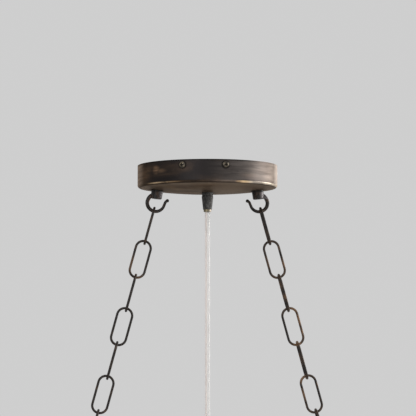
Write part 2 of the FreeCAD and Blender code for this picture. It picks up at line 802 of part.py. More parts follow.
def make_lead(label, side):
    """One conductor of the cord above the threaded tube: up, round a bend and out into its connector."""
    body = new_body(label)
    bend_x = strand_x + dim.lead_bend_radius
    path = sketch_on(body, "XZ_Plane", "line")
    add_path(path, [
        (strand_x, tail_top_z),
        (strand_x, tail_top_z + dim.lead_rise),
        (bend_x, lead_z, -dim.lead_bend_radius),
        (bend_x + dim.lead_run + dim.lead_insertion, lead_z),
    ], closed=False)
    circle = sketch_on(body, "XY_Plane", "wire_circle", offset=(0, 0, tail_top_z))
    add_circle(circle, strand_x, 0, dim.lead_diameter)
    pipe(body, circle, path, "wire")
    place(body, angle=0 if side == "right" else 180)
    return body


def make_connector(side):
    """Twist-on connector: a blunt cone, fluted at its wide end, with a blind bore that the lead fills."""
    body = new_body(f"wire_connector_{side}")
    mouth_x = strand_x + dim.lead_bend_radius + dim.lead_run
    bore = dim.lead_diameter / 2 + dim.thread_clearance
    mouth_radius = dim.connector_mouth_diameter / 2
    section = sketch_on(body, "XZ_Plane", "section", offset=(mouth_x, lead_z, 0))
    add_outline(section, [
        (0, bore),
        (dim.lead_insertion, bore),
        (dim.lead_insertion, 0),
        (dim.connector_length, 0),
        (dim.connector_length, dim.connector_tip_diameter / 2),
        (0, mouth_radius),
    ])
    revolve(body, section, "cap", axis="H_Axis")
    flute = sketch_on(body, "YZ_Plane", "flute", offset=(0, lead_z, mouth_x))
    add_circle(flute, 0, mouth_radius, 2 * dim.connector_flute)
    cut = pocket(body, flute, "flute_cut", up=True)
    flutes = body.newObject("PartDesign::PolarPattern", f"{body.Label}_flutes")
    flutes.Originals = [cut]
    flutes.Axis = (section, ["H_Axis"])
    flutes.Angle = 360
    flutes.Occurrences = CONNECTOR_FLUTES
    body.Tip = flutes
    place(body, angle=0 if side == "right" else 180)
    return body


def make_earth_screw():
    """Hexagon head earth screw with a flange, in the bracket's plate from below."""
    body = new_body("ground_screw")
    shank = sketch_on(body, "XY_Plane", "shank")
    add_circle(shank, 0, 0, dim.earth_screw_diameter)
    pad(body, shank, "shank_rod", dim.bracket_plate)
    flange = sketch_on(body, "XY_Plane", "flange")
    add_circle(flange, 0, 0, dim.earth_flange_diameter)
    pad(body, flange, "flange_disc", dim.earth_flange_thickness, down=True)
    head = sketch_on(body, "XY_Plane", "head")
    add_hexagon(head, dim.earth_screw_flats)
    pad(body, head, "head_prism", dim.earth_flange_thickness + dim.earth_screw_head, down=True)
    place(body, x=earth_screw_x, y=-dim.earth_screw_forward, z=-dim.bracket_plate)
    return body


nodes.append(make_canopy())
nodes.append(make_bracket())
screws = [make_canopy_screw(number, *spot) for number, spot in enumerate(screw_places())]
nodes.append(group("canopy_screws", screws))
nodes.extend(make_hook(side) for side in SIDES)
nodes.extend(make_stud_fasteners())
nodes.extend(make_link(side, number) for side in SIDES for number in range(1, LINKS_PER_CHAIN + 1))
nodes.append(make_grip("cord_grip", seat_z))
nodes.append(make_ferrule("grip_ferrule", seat_z))
socket_z = seat_z - dim.grip_socket_depth
nodes.append(make_nipple("grip_nipple", socket_z, seat_z - dim.relief_width, nipple_top_z))
nodes.append(make_ring("grip_washer", dim.nipple_washer_diameter, nipple_hole, dim.nipple_washer_thickness))
place(nodes[-1], z=seat_top_z)
nodes.append(make_nut("grip_locknut", dim.locknut_flats, nipple_thread, dim.locknut_height))
place(nodes[-1], z=seat_top_z + dim.nipple_washer_thickness)
nodes.append(make_cord("cord", lower_mouth_z, mouth_z))
nodes.append(make_cord("cord_tail", mouth_z, tail_top_z))
nodes.append(make_lead("lead_copper", "left"))
nodes.append(make_lead("lead_silver", "right"))
nodes.append(group("wire_connectors", [make_connector(side) for side in SIDES]))
nodes.append(make_earth_screw())
nodes.append(make_grip("lower_cord_grip", lower_seat_z, lower=True))
nodes.append(make_ferrule("lower_grip_ferrule", lower_seat_z, lower=True))
lower_end_z = lower_seat_z - dim.lower_nipple_length
nodes.append(make_nipple("lower_nipple", lower_end_z, lower_seat_z, lower_seat_z + dim.grip_socket_depth))
nodes.append(make_cord("cord_end", lower_end_z, lower_mouth_z))

doc.recompute()

for item in doc.Objects:
    if "Invalid" in item.State or "Error" in item.State:
        raise RuntimeError(f"{item.Label} failed: {item.State}")
    cuts = item.TypeId in ("PartDesign::Pocket", "PartDesign::Groove")
    if cuts and item.Shape.Volume >= item.BaseFeature.Shape.Volume:
        raise RuntimeError(f"{item.Label} cuts nothing")

os.makedirs("parts", exist_ok=True)
for node in nodes:
    if node.Shape.isNull() or not node.Shape.isValid():
        raise RuntimeError(f"{node.Label} has no valid shape")

for label in ("chain_link_right_1", "lead_silver"):
    swept = doc.getObject(label)
    line = [item for item in swept.Group if item.TypeId == "PartDesign::AdditivePipe"][0].Spine[0].Shape
    profile = [item for item in swept.Group if item.Label.endswith("wire_circle")][0]
    section_area = math.pi * profile.Shape.Edges[0].Curve.Radius ** 2
    share = swept.Shape.Volume / (section_area * line.Length)
    print(f"{label}: length {line.Length:.1f}, volume over section times length {share:.4f}")
print(f"lead bend radius {dim.lead_bend_radius.number}, cord free length {dim.cord_free_length.number}")

for node in nodes:
    node.Shape.exportStep(f"parts/{node.Label}.step")
print(f"{len(nodes)} nodes")
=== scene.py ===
import json
import math

import bmesh
import bpy
import numpy as np
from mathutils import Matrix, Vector


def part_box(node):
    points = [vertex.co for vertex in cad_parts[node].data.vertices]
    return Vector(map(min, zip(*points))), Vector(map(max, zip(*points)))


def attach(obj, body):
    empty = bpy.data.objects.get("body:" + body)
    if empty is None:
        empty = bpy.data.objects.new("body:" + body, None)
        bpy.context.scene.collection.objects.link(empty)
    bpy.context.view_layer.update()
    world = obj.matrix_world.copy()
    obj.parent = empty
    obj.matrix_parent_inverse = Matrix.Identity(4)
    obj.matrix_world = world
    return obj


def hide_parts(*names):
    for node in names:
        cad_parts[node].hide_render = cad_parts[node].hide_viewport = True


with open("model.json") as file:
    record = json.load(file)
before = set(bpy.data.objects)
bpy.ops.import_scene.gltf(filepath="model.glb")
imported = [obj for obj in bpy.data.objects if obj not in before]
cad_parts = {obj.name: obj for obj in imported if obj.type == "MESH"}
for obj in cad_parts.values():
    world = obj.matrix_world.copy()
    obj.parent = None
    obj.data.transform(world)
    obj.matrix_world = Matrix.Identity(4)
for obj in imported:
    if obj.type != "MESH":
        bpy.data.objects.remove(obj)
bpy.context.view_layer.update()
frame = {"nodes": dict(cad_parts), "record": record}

NODES = frame["nodes"]

# Places that the finishes and the cord share with the solids, in metres
CANOPY_RADIUS = 0.0762
CORNER_RADIUS = 0.003
WALL_HEIGHT = 0.0243
SCREW_AZIMUTHS = (-22.4, 12.0, 157.6, 192.0)
SCREW_Z = -0.0056
HOOK_X = 0.0548
HOOK_Z = -0.0265
GRIP_TOP_Z = -0.029
LOOP_X = 0.056236
LOOP_Z = -0.040269
LOOP_RADIUS = 0.0093
HOOK_GLINT_X = -LOOP_X - LOOP_RADIUS + 0.0024
CHAIN_SLANT = math.radians(15.25)
CHAIN_HANG = 0.00565
CHAIN_PITCH = 0.0377
LINK_WIRE = 0.0026
LINK_LENGTH = 0.0432
LINK_BEND = 0.00815
LINK_COUNT = 7
SEAM_PLUG = 0.0005
LEFT, RIGHT = -1, 1
MOUTH_Z = -0.0498
LOWER_MOUTH_Z = -0.2798
CORD_WIDTH = 0.0056
CORD_WEB = 0.0015
STRAND_X = CORD_WIDTH / 4
LEAD_DIAMETER = 0.0025
LEAD_Z = -0.0099
TAIL_TOP_Z = -0.0194
STRANDS = 8
STRAND_RADIUS = 0.00021
STRAND_LAY = 0.070
THREAD_BORE = 0.0035
THREAD_RADIUS = 0.00485
THREAD_PITCH = 0.00094
THREAD_DEPTH = 0.00042
THREAD_CHAMFER = 0.0005
THREAD_COLUMNS = 72
THREAD_ROWS_PER_PITCH = 8
FLOOR_REACH = 14.0
FLOOR_Z = -1.4
FLOOR_THICKNESS = 0.05


# Camera and stage

def set_camera():
    """The photograph's view: 2.4 degrees left of the front, from below, with a long lens."""
    distance = 1.5
    azimuth = math.radians(-2.425)
    pan = math.radians(-0.0225)
    pitch = math.radians(4.162)
    camera = bpy.data.objects.new("camera", bpy.data.cameras.new("camera"))
    camera.data.sensor_width = 36.0
    camera.data.lens = 119.397
    camera.data.clip_start = 0.05
    camera.data.clip_end = 60.0
    camera.location = (math.sin(azimuth) * distance, -math.cos(azimuth) * distance, -0.1548)
    heading = azimuth + pan
    forward = Vector((-math.sin(heading) * math.cos(pitch), math.cos(heading) * math.cos(pitch), math.sin(pitch)))
    camera.rotation_mode = "QUATERNION"
    camera.rotation_quaternion = forward.to_track_quat("-Z", "Y")
    bpy.context.scene.collection.objects.link(camera)
    bpy.context.scene.camera = camera


def add_lamp(name, place, target, size, power, colour):
    """A soft square lamp at a place, turned to a target, that no camera sees itself."""
    lamp = bpy.data.objects.new(name, bpy.data.lights.new(name, "AREA"))
    lamp.data.size = size
    lamp.data.energy = power
    lamp.data.color = colour
    lamp.location = place
    lamp.rotation_mode = "QUATERNION"
    lamp.rotation_quaternion = (Vector(target) - Vector(place)).to_track_quat("-Z", "Y")
    lamp.visible_camera = False
    bpy.context.scene.collection.objects.link(lamp)


def light_world(light_level, seen_level):
    """An even pale surround; what the eye, metal and clear plastic see of it has its own level."""
    world = bpy.data.worlds.new("surround")
    bpy.context.scene.world = world
    world.use_nodes = True
    tree = world.node_tree
    light = tree.nodes["Background"]
    light.inputs["Color"].default_value = (light_level, light_level, light_level, 1)
    seen = tree.nodes.new("ShaderNodeBackground")
    seen.inputs["Color"].default_value = (seen_level, seen_level, seen_level, 1)
    path = tree.nodes.new("ShaderNodeLightPath")
    share = path.outputs["Is Camera Ray"]
    for ray in ("Is Glossy Ray", "Is Transmission Ray"):
        either = tree.nodes.new("ShaderNodeMath")
        either.operation = "MAXIMUM"
        tree.links.new(share, either.inputs[0])
        tree.links.new(path.outputs[ray], either.inputs[1])
        share = either.outputs[0]
    mix = tree.nodes.new("ShaderNodeMixShader")
    tree.links.new(share, mix.inputs[0])
    tree.links.new(light.outputs[0], mix.inputs[1])
    tree.links.new(seen.outputs[0], mix.inputs[2])
    tree.links.new(mix.outputs[0], tree.nodes["World Output"].inputs["Surface"])


# Finishes

class Finish:
    """One material: its shader, and short ways to add a node and take its output."""

    def __init__(self, name):
        self.material = bpy.data.materials.new(name)
        self.material.use_nodes = True
        self.tree = self.material.node_tree
        self.shader = self.tree.nodes["Principled BSDF"]
        self.place = self.add("ShaderNodeTexCoord").outputs["Object"]

    def add(self, kind, **settings):
        node = self.tree.nodes.new(kind)
        for field, value in settings.items():
            setattr(node, field, value)
        return node

    def join(self, value, socket):
        """Links an output to a socket, or sets the socket to a constant."""
        if isinstance(value, bpy.types.NodeSocket):
            self.tree.links.new(value, socket)
        else:
            socket.default_value = value

    def set(self, **values):
        """Sets the shader's sockets, named with underscores for spaces."""
        for name, value in values.items():
            socket = self.shader.inputs[name.replace("_", " ")]
            if isinstance(value, tuple) and len(value) == 3 and socket.type == "RGBA":
                value = (*value, 1.0)
            self.join(value, socket)

    def maths(self, operation, *values):
        node = self.add("ShaderNodeMath", operation=operation)
        for value, socket in zip(values, node.inputs):
            self.join(value, socket)
        return node.outputs[0]

    def vectors(self, operation, *values):
        node = self.add("ShaderNodeVectorMath", operation=operation)
        for value, socket in zip(values, node.inputs):
            self.join(value, socket)
        return node.outputs["Value" if operation == "LENGTH" else "Vector"]

    def parts(self, vector):
        node = self.add("ShaderNodeSeparateXYZ")
        self.join(vector, node.inputs[0])
        return node.outputs[0], node.outputs[1], node.outputs[2]

    def stretched(self, scales):
        """Object coordinates times one scale for each axis: features of 1 over the scale, in metres."""
        return self.vectors("MULTIPLY", self.place, scales)

    def noise(self, scales, detail=3.0, rough=0.55, warp=0.0):
        node = self.add("ShaderNodeTexNoise")
        self.join(self.stretched(scales), node.inputs["Vector"])
        node.inputs["Scale"].default_value = 1.0
        node.inputs["Detail"].default_value = detail
        node.inputs["Roughness"].default_value = rough
        node.inputs["Distortion"].default_value = warp
        return node.outputs[0]

    def between(self, value, low, high):
        """0 below low, 1 above high and a smooth step between; low may be the greater one."""
        node = self.add("ShaderNodeMapRange", interpolation_type="SMOOTHSTEP")
        self.join(value, node.inputs["Value"])
        node.inputs["From Min"].default_value = min(low, high)
        node.inputs["From Max"].default_value = max(low, high)
        node.inputs["To Min"].default_value = 0.0 if low < high else 1.0
        node.inputs["To Max"].default_value = 1.0 if low < high else 0.0
        return node.outputs["Result"]

    def spread(self, value, low, high):
        """A value of 0 to 1 carried evenly to low to high."""
        node = self.add("ShaderNodeMapRange")
        self.join(value, node.inputs["Value"])
        node.inputs["To Min"].default_value = low
        node.inputs["To Max"].default_value = high
        return node.outputs["Result"]

    def blend(self, share, first, second):
        """The first colour where the share is 0 and the second where it is 1."""
        node = self.add("ShaderNodeMix", data_type="RGBA")
        self.join(share, node.inputs["Factor"])
        for value, socket in ((first, node.inputs[6]), (second, node.inputs[7])):
            self.join((*value, 1.0) if isinstance(value, tuple) else value, socket)
        return node.outputs[2]

    def bump(self, height, depth, strength):
        """Raises the surface by height times depth, in metres."""
        node = self.add("ShaderNodeBump")
        node.inputs["Strength"].default_value = strength
        node.inputs["Distance"].default_value = depth
        self.join(height, node.inputs["Height"])
        self.join(node.outputs[0], self.shader.inputs["Normal"])

    def spot(self, centre, reach, soft=0.2):
        """1 at a centre and 0 outside an ellipsoid of the given reach, with a soft rim."""
        away = self.vectors("SUBTRACT", self.place, centre)
        share = self.vectors("DIVIDE", away, reach)
        return self.between(self.vectors("LENGTH", share), 1.0, soft)

    def strongest(self, marks):
        """The greatest of several shares."""
        total = marks[0]
        for mark in marks[1:]:
            total = self.maths("MAXIMUM", total, mark)
        return total

    def band(self, value, rise, fall):
        """1 between a smooth rise and a smooth fall, each given as where it is 0 and where it is 1."""
        return self.maths("MULTIPLY", self.between(value, *rise), self.between(value, *fall))

    def from_axis(self):
        """Distance from the upright axis through the origin."""
        return self.vectors("LENGTH", self.vectors("MULTIPLY", self.place, (1.0, 1.0, 0.0)))


def on_wall(azimuth, z, off=0.0):
    """A point of the canopy's wall or off it, by its azimuth from the front in degrees and its height."""
    angle = math.radians(azimuth)
    radius = CANOPY_RADIUS + off
    return (radius * math.sin(angle), -radius * math.cos(angle), z)


def on_chain(side, down, outward, back=0.0):
    """A point of a chain at rest, by its side, its way down from the hook's loop, and how far it lies outward and
    to the back of that line."""
    x = LOOP_X + down * math.sin(CHAIN_SLANT) + outward * math.cos(CHAIN_SLANT)
    return (side * x, back, LOOP_Z - down * math.cos(CHAIN_SLANT) + outward * math.sin(CHAIN_SLANT))


def rubbed_bronze():
    """Dark bronze on spun sheet: clouded brown, smears round the wall, rub-through at the lower edge that carries a
    painted highlight on the right, a painted sheen and highlight on the right of the wall and underside, a painted
    reflection at the left end, a painted dark reflection in the lower corner, a painted pale rim highlight on the
    underside and painted shade along the top and round the fittings.
    """
    skin = Finish("rubbed_bronze")
    radius = skin.from_axis()
    x, _, height = skin.parts(skin.place)
    cloud = skin.noise((24, 24, 60), 4.0, 0.5, 0.4)
    smear = skin.noise((30, 30, 330), 5.0, 0.6, 0.2)
    mottle = skin.noise((120, 120, 300), 4.0, 0.6)
    rings = skin.noise((900, 900, 40), 2.0, 0.5)
    streak = skin.between(smear, 0.34, 0.64)
    brown = skin.maths("MULTIPLY", skin.between(cloud, 0.40, 0.66), skin.spread(smear, 0.3, 1.0))
    wall = skin.blend(brown, (0.021, 0.0185, 0.0185), (0.064, 0.043, 0.031))
    # Painted sheen on the right of the wall, and a painted highlight towards its right end
    painted_sheen_right = skin.maths("MULTIPLY", skin.between(x, -0.010, 0.038), skin.spread(streak, 0.55, 1.0))
    wall = skin.blend(painted_sheen_right, wall, (0.128, 0.112, 0.104))
    painted_highlight_right_third = skin.maths("MULTIPLY", skin.between(x, 0.060, 0.075), skin.spread(streak, 0.45, 1.0))
    wall = skin.blend(painted_highlight_right_third, wall, (0.325, 0.285, 0.255))
    marks = []
    for azimuth, z, wide, tall, strength in (
        (-48, -0.0095, 0.0080, 0.0064, 0.90),
        (-43, -0.0108, 0.0115, 0.0036, 0.60),
        (-57, -0.0085, 0.0120, 0.0060, 0.28),
        (-40, -0.015, 0.026, 0.004, 0.12),
        (-64, -0.013, 0.020, 0.011, 0.32),
        (-88, -0.014, 0.022, 0.020, 0.95),
        (34, -0.016, 0.020, 0.005, 0.30),
        (50, -0.010, 0.026, 0.005, 0.35),
        (58, -0.016, 0.022, 0.005, 0.60),
        (78, -0.006, 0.016, 0.004, 0.85),
        (80, -0.018, 0.014, 0.006, 0.60),
        (150, -0.010, 0.034, 0.007, 0.45),
        (-140, -0.014, 0.030, 0.006, 0.45),
    ):
        marks.append(skin.maths("MULTIPLY", skin.spot(on_wall(azimuth, z), (wide, wide, tall), 0.0), strength))
    # Rub-through marks, brass brown on the left; towards the right their grey-tan colour is partly a painted sheen
    rubs = skin.maths("MULTIPLY", skin.strongest(marks), skin.spread(streak, 0.30, 1.0))
    rub_and_sheen = skin.blend(skin.between(x, 0.020, 0.056), (0.260, 0.160, 0.096), (0.250, 0.212, 0.190))
    wall = skin.blend(rubs, wall, rub_and_sheen)
    # Painted reflection: the left end of the wall is lighter
    painted_left_end_reflection = skin.maths("MULTIPLY", skin.between(x, -0.0685, -0.0750), skin.spread(streak, 0.45, 0.95))
    wall = skin.blend(painted_left_end_reflection, wall, (0.300, 0.235, 0.188))
    # Painted highlight on the right edge of the wall
    painted_edge_highlight = skin.between(x, 0.0692, 0.0748)
    wall = skin.blend(painted_edge_highlight, wall, (0.70, 0.62, 0.56))
    # Underside
    under_cloud = skin.noise((34, 34, 34), 3.0, 0.5, 0.3)
    under = skin.blend(skin.between(under_cloud, 0.36, 0.66), (0.080, 0.058, 0.043), (0.165, 0.128, 0.098))
    under = skin.blend(skin.maths("MULTIPLY", skin.between(cloud, 0.52, 0.66), 0.5), under, (0.120, 0.066, 0.048))
    # Painted sheen: the underside is lighter towards the right
    under = skin.blend(skin.spread(skin.between(x, -0.020, 0.050), 0.0, 0.45), under, (0.235, 0.185, 0.145))
    drag = skin.between(skin.noise((26, 80, 26), 4.0, 0.6), 0.50, 0.68)
    under = skin.blend(skin.maths("MULTIPLY", drag, 0.5), under, (0.270, 0.190, 0.120))
    pale_patch = skin.spot((0.021, -0.030, GRIP_TOP_Z), (0.024, 0.070, 0.020), 0.2)
    under = skin.blend(skin.maths("MULTIPLY", pale_patch, 0.55), under, (0.285, 0.220, 0.170))
    # Painted highlight: a pale ring on the underside just inside the rounded corner
    painted_rim_highlight = skin.maths("MULTIPLY", skin.between(radius, 0.058, 0.071), skin.spread(under_cloud, 0.2, 1.0))
    under = skin.blend(painted_rim_highlight, under, (0.275, 0.222, 0.176))
    inside = CANOPY_RADIUS - CORNER_RADIUS
    flat = skin.between(radius, inside + 0.0006, inside - 0.0004)
    colour = skin.blend(flat, wall, under)
    # Gilt line on the lower edge, rub-through with a painted highlight, brighter and whiter to the right: down is 0
    # where the wall ends and 1 at the underside
    down = skin.maths("MULTIPLY_ADD", height, -1 / CORNER_RADIUS, 1 - WALL_HEIGHT / CORNER_RADIUS)
    crest = skin.band(down, (0.02, 0.24), (0.92, 0.70))
    breaks = skin.noise((44, 44, 44), 4.0, 0.6)
    patchy = skin.spread(skin.between(breaks, 0.36, 0.62), 0.25, 1.0)
    patchy = skin.maths("MAXIMUM", patchy, skin.between(x, 0.026, 0.034))
    right = skin.between(x, 0.024, 0.036)
    left = skin.band(x, (-0.026, -0.056), (-0.0670, -0.057))
    left = skin.maths("MULTIPLY", left, skin.band(down, (0.22, 0.42), (0.82, 0.62)))
    amount = skin.maths("MULTIPLY_ADD", right, 0.94, skin.maths("MULTIPLY_ADD", left, 0.84, 0.05))
    dull_stretch = skin.band(x, (0.042, 0.047), (0.060, 0.055))
    amount = skin.maths("MULTIPLY", amount, skin.spread(dull_stretch, 1.0, 0.45))
    edge = skin.maths("MULTIPLY", skin.maths("MULTIPLY", crest, patchy), amount)
    gilt_and_highlight = skin.blend(skin.between(x, -0.030, -0.056), (0.78, 0.48, 0.25), (0.82, 0.60, 0.38))
    gilt_and_highlight = skin.blend(right, gilt_and_highlight, (0.99, 0.72, 0.43))
    gilt_and_highlight = skin.blend(skin.between(x, 0.036, 0.048), gilt_and_highlight, (0.99, 0.87, 0.72))
    colour = skin.blend(edge, colour, gilt_and_highlight)
    # Painted dark reflection on the lower part of the rounded corner
    inner_rim = skin.between(radius, inside - 0.0006, inside + 0.0003)
    painted_dark_reflection = skin.maths("MULTIPLY", skin.between(down, 0.74, 0.90), inner_rim)
    colour = skin.blend(skin.maths("MULTIPLY", painted_dark_reflection, 0.6), colour, (0.020, 0.015, 0.012))
    # Painted shade along the top of the wall and painted contact shadows round the screws, hook collars and grip
    fading = skin.spread(skin.between(x, 0.030, 0.058), 1.0, 0.2)
    marks = [skin.maths("MULTIPLY", skin.between(height, -0.0020, -0.0004), fading)]
    shadow_spots = [(on_wall(azimuth, SCREW_Z), 0.0056) for azimuth in SCREW_AZIMUTHS]
    shadow_spots += [((side * HOOK_X, 0.0, HOOK_Z), 0.0125) for side in (LEFT, RIGHT)]
    shadow_spots.append(((0.0, 0.0, GRIP_TOP_Z), 0.0115))
    marks += [skin.spot(centre, (reach, reach, reach), 0.6) for centre, reach in shadow_spots]
    painted_shade = skin.maths("MULTIPLY", skin.strongest(marks), 0.8)
    colour = skin.blend(painted_shade, colour, (0.008, 0.007, 0.007))
    rough = skin.spread(smear, 0.36, 0.48)
    rough = skin.maths("MULTIPLY_ADD", skin.maths("MAXIMUM", edge, rubs), -0.08, rough)
    skin.set(Base_Color=colour, Roughness=rough, Metallic=0.8, Specular_IOR_Level=0.25)
    skin.set(Specular_Tint=(0.62, 0.50, 0.41))
    fine = skin.maths("ADD", skin.maths("MULTIPLY", mottle, 0.6), skin.maths("MULTIPLY", rings, 0.25))
    skin.bump(fine, 0.00012, 0.5)
    return skin.material


def cast_bronze():
    """Blackened casting with a fine grain and brown clouds, a painted brown glint on the left hook's inner flank, a
    painted grey sheen on the collars' right, painted contact shadow at the collars' tops and bare where the chain
    hangs."""
    skin = Finish("cast_bronze")
    grain = skin.noise((900, 900, 900), 3.0, 0.6)
    cloud = skin.noise((260, 260, 260), 4.0, 0.6)
    brown = skin.maths("MULTIPLY", skin.between(cloud, 0.44, 0.66), 0.85)
    colour = skin.blend(brown, (0.0120, 0.0096, 0.0084), (0.060, 0.037, 0.025))
    x, _, height = skin.parts(skin.place)
    # Painted grey sheen on the right side of each hook collar
    to_right = skin.maths("SUBTRACT", x, skin.maths("MULTIPLY", skin.maths("SIGN", x), HOOK_X))
    painted_collar_sheen = skin.maths("MULTIPLY", skin.between(to_right, 0.0005, 0.0045), skin.between(height, -0.0370, -0.0345))
    colour = skin.blend(skin.maths("MULTIPLY", painted_collar_sheen, skin.spread(cloud, 0.5, 1.0)), colour, (0.165, 0.150, 0.157))
    # Painted contact shadow: the tops of the collars next to the canopy are near black
    colour = skin.blend(skin.between(height, -0.0290, -0.0278), colour, (0.0040, 0.0035, 0.0035))
    seats = [skin.spot(on_chain(side, LOOP_RADIUS, 0.0), (0.0042, 0.0042, 0.0042), 0.3) for side in (LEFT, RIGHT)]
    bare = skin.maths("MULTIPLY", skin.strongest(seats), skin.spread(grain, 0.35, 0.95))
    colour = skin.blend(bare, colour, (0.085, 0.046, 0.026))
    # Painted brown glint on the inner flank of the left hook's loop
    glint = skin.spot((HOOK_GLINT_X, 0.0, LOOP_Z + 0.002), (0.0020, 0.0040, 0.0060), 0.2)
    colour = skin.blend(skin.maths("MULTIPLY", glint, 0.8), colour, (0.150, 0.072, 0.048))
    skin.set(Base_Color=colour, Roughness=skin.spread(cloud, 0.30, 0.48), Metallic=0.35, Specular_IOR_Level=0.4)
    pits = skin.maths("ADD", skin.maths("MULTIPLY", cloud, 0.7), skin.maths("MULTIPLY", grain, 0.3))
    skin.bump(pits, 0.00040, 0.7)
    return skin.material


def chain_bronze():
    """Dark drawn wire, rubbed to copper brown where link meets link and in patches, more on the right chain."""
    skin = Finish("chain_bronze")
    x, _, z = skin.parts(skin.place)
    lean, drop = math.sin(CHAIN_SLANT), math.cos(CHAIN_SLANT)
    aside = skin.maths("MULTIPLY_ADD", skin.maths("ABSOLUTE", x), lean, -LOOP_X * lean)
    below = skin.maths("MULTIPLY_ADD", z, -drop, LOOP_Z * drop - CHAIN_HANG - LINK_WIRE / 2)
    step = skin.maths("ADD", aside, below)
    nearest = skin.maths("PINGPONG", step, CHAIN_PITCH / 2)
    meet = skin.between(nearest, 0.0062, 0.0012)
    patch = skin.noise((95, 95, 60), 4.0, 0.6, 0.3)
    grain = skin.noise((700, 700, 420), 3.0, 0.6)
    dust = skin.between(patch, 0.50, 0.70)
    colour = skin.blend(dust, (0.0165, 0.0128, 0.0110), (0.044, 0.029, 0.020))
    worn_side = skin.spread(skin.between(x, 0.05, 0.075), 0.20, 0.90)
    rub = skin.maths("MULTIPLY", meet, skin.spread(skin.between(grain, 0.3, 0.7), 0.05, 0.25))
    rub = skin.maths("MAXIMUM", rub, skin.between(patch, 0.56, 0.72))
    rub = skin.maths("MULTIPLY", rub, worn_side)
    flecks = skin.between(grain, 0.3, 0.7)
    for side, down, outward, reach, strength in (
        (LEFT, 0.031, 0.000, 0.016, 0.30),
        (LEFT, 0.071, 0.008, 0.014, 0.45),
        (LEFT, 0.083, -0.003, 0.008, 0.40),
        (LEFT, 0.103, 0.000, 0.012, 0.22),
        (LEFT, 0.181, 0.000, 0.014, 0.32),
        (RIGHT, 0.036, 0.000, 0.014, 0.25),
        (RIGHT, 0.065, -0.0085, 0.012, 0.30),
        (RIGHT, 0.0715, 0.007, 0.012, 0.35),
        (RIGHT, 0.092, 0.001, 0.011, 0.80),
        (RIGHT, 0.106, 0.001, 0.009, 0.70),
        (RIGHT, 0.1215, 0.005, 0.008, 0.80),
        (RIGHT, 0.133, 0.0085, 0.010, 0.75),
        (RIGHT, 0.150, 0.0085, 0.008, 0.30),
        (RIGHT, 0.158, 0.000, 0.007, 1.00),
        (RIGHT, 0.176, 0.001, 0.014, 0.45),
        (RIGHT, 0.196, -0.005, 0.008, 0.80),
        (RIGHT, 0.213, -0.009, 0.010, 0.60),
    ):
        mark = skin.spot(on_chain(side, down, outward), (reach, 0.012, reach), 0.2)
        mark = skin.maths("MULTIPLY", mark, skin.spread(flecks, strength * 0.5, strength))
        rub = skin.maths("MAXIMUM", rub, mark)
    colour = skin.blend(rub, colour, (0.255, 0.140, 0.070))
    skin.set(Base_Color=colour, Roughness=skin.spread(grain, 0.38, 0.54), Metallic=0.2, Specular_IOR_Level=0.3)
    skin.bump(grain, 0.00007, 0.5)
    return skin.material


def worn_screw():
    """Plated pan head with the plating thinned to brass, painted shade in the cross recess and at the rim next to the
    wall, darker on the right.
    """
    skin = Finish("worn_screw")
    radius = skin.from_axis()
    wear = skin.noise((520, 520, 520), 4.0, 0.6)
    colour = skin.blend(skin.between(wear, 0.40, 0.62), (0.095, 0.083, 0.070), (0.185, 0.150, 0.100))
    to_right, _, _ = skin.parts(skin.place)
    # The screws on the right are darker
    darker_right = skin.maths("MULTIPLY", skin.between(to_right, 0.0, 0.010), 0.42)
    colour = skin.blend(darker_right, colour, (0.040, 0.035, 0.032))
    # Painted shade round the rim of each head, where it meets the wall
    rim = skin.between(radius, CANOPY_RADIUS + 0.0014, CANOPY_RADIUS + 0.0008)
    colour = skin.blend(rim, colour, (0.018, 0.015, 0.013))
    # Painted shade in the cross recess of each head
    middles = [skin.spot(on_wall(azimuth, SCREW_Z, 0.0015), (0.0021, 0.0021, 0.0021), 0.75)
               for azimuth in SCREW_AZIMUTHS]
    below_crown = skin.between(radius, CANOPY_RADIUS + 0.0020, CANOPY_RADIUS + 0.0016)
    recess = skin.maths("MULTIPLY", skin.strongest(middles), below_crown)
    colour = skin.blend(recess, colour, (0.004, 0.0035, 0.003))
    skin.set(Base_Color=colour, Roughness=skin.spread(wear, 0.28, 0.46), Metallic=0.9)
    skin.bump(wear, 0.00008, 0.5)
    return skin.material


def zinc_plate():
    """Zinc plated steel: pale grey with a faint crystal pattern and drawn lines."""
    skin = Finish("zinc_plate")
    cells = skin.add("ShaderNodeTexVoronoi")
    skin.join(skin.stretched((260, 260, 260)), cells.inputs["Vector"])
    cells.inputs["Scale"].default_value = 1.0
    drawn = skin.noise((1400, 60, 200), 2.0, 0.5)
    _, tone, _ = skin.parts(cells.outputs["Color"])
    colour = skin.blend(tone, (0.47, 0.48, 0.475), (0.60, 0.605, 0.59))
    colour = skin.blend(skin.between(drawn, 0.62, 0.8), colour, (0.42, 0.40, 0.36))
    skin.set(Base_Color=colour, Roughness=skin.spread(drawn, 0.30, 0.46), Metallic=1.0)
    skin.bump(drawn, 0.00006, 0.5)
    return skin.material


